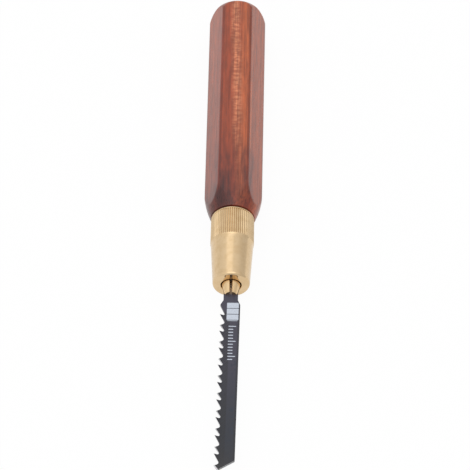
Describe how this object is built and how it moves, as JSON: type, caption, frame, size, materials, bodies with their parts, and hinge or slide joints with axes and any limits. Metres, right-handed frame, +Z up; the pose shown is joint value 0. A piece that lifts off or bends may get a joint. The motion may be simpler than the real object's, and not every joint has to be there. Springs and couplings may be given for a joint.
{
  "type": "fret saw",
  "caption": "Hand saw for tight cuts: a faceted hardwood handle, a brass collet chuck with a fluted nut, and a short coarse blade that cuts on the pull.",
  "frame": {"origin": "below the middle of the saw's length, on the surface it lies on: the centre of the bottom of its bounding box", "axes": "+Y along the saw's axis from the blade's point to the handle's butt, +Z up from the flat of the handle that it rests on, and the teeth face -X"},
  "size_m": [0.0254, 0.2492, 0.0225],
  "materials": {
    "hardwood": "reddish-brown close-grained hardwood under satin lacquer",
    "brass": "turned and lightly polished brass",
    "collet_brass": "fine-turned hard brass with sawn slits",
    "blade_steel": "black heat-treated carbon steel"
  },
  "bodies": {
    "handle": {"handle": "hardwood", "chuck_body": "brass"},
    "collet": {"collet_base": "collet_brass"},
    "jaw_upper_left": {"jaw_upper_left": "collet_brass"},
    "jaw_upper_right": {"jaw_upper_right": "collet_brass"},
    "jaw_lower_left": {"jaw_lower_left": "collet_brass"},
    "jaw_lower_right": {"jaw_lower_right": "collet_brass"},
    "nut": {"chuck_nut": "brass"},
    "blade": {"saw_blade": "blade_steel"}
  },
  "joints": [
    {"name": "nut_turn", "type": "hinge", "parent": "collet", "child": "nut", "pos_m": [0, -0.0171, 0.01125], "axis": [0, -1, 0], "range_deg": [0, 1080]},
    {"name": "collet_advance", "type": "slide", "parent": "handle", "child": "collet", "axis": [0, -1, 0], "range_m": [0, 0.00375]},
    {"name": "jaw_upper_left_open", "type": "hinge", "parent": "collet", "child": "jaw_upper_left", "pos_m": [-0.00311, -0.0051, 0.01436], "axis": [-0.7071, 0, -0.7071], "range_deg": [0, 0.4]},
    {"name": "jaw_upper_right_open", "type": "hinge", "parent": "collet", "child": "jaw_upper_right", "pos_m": [0.00311, -0.0051, 0.01436], "axis": [-0.7071, 0, 0.7071], "range_deg": [0, 0.4]},
    {"name": "jaw_lower_left_open", "type": "hinge", "parent": "collet", "child": "jaw_lower_left", "pos_m": [-0.00311, -0.0051, 0.00814], "axis": [0.7071, 0, -0.7071], "range_deg": [0, 0.4]},
    {"name": "jaw_lower_right_open", "type": "hinge", "parent": "collet", "child": "jaw_lower_right", "pos_m": [0.00311, -0.0051, 0.00814], "axis": [0.7071, 0, 0.7071], "range_deg": [0, 0.4]},
    {"name": "blade_withdraw", "type": "slide", "parent": "collet", "child": "blade", "axis": [0, -1, 0], "range_m": [0, 0.016]}
  ],
  "couplings": [
    {"joint": "nut_turn", "follows": "collet_advance", "rad_per_m": 5026.5},
    {"joint": "jaw_upper_left_open", "follows": "collet_advance", "rad_per_m": 1.8617},
    {"joint": "jaw_upper_right_open", "follows": "collet_advance", "rad_per_m": 1.8617},
    {"joint": "jaw_lower_left_open", "follows": "collet_advance", "rad_per_m": 1.8617},
    {"joint": "jaw_lower_right_open", "follows": "collet_advance", "rad_per_m": 1.8617}
  ]
}
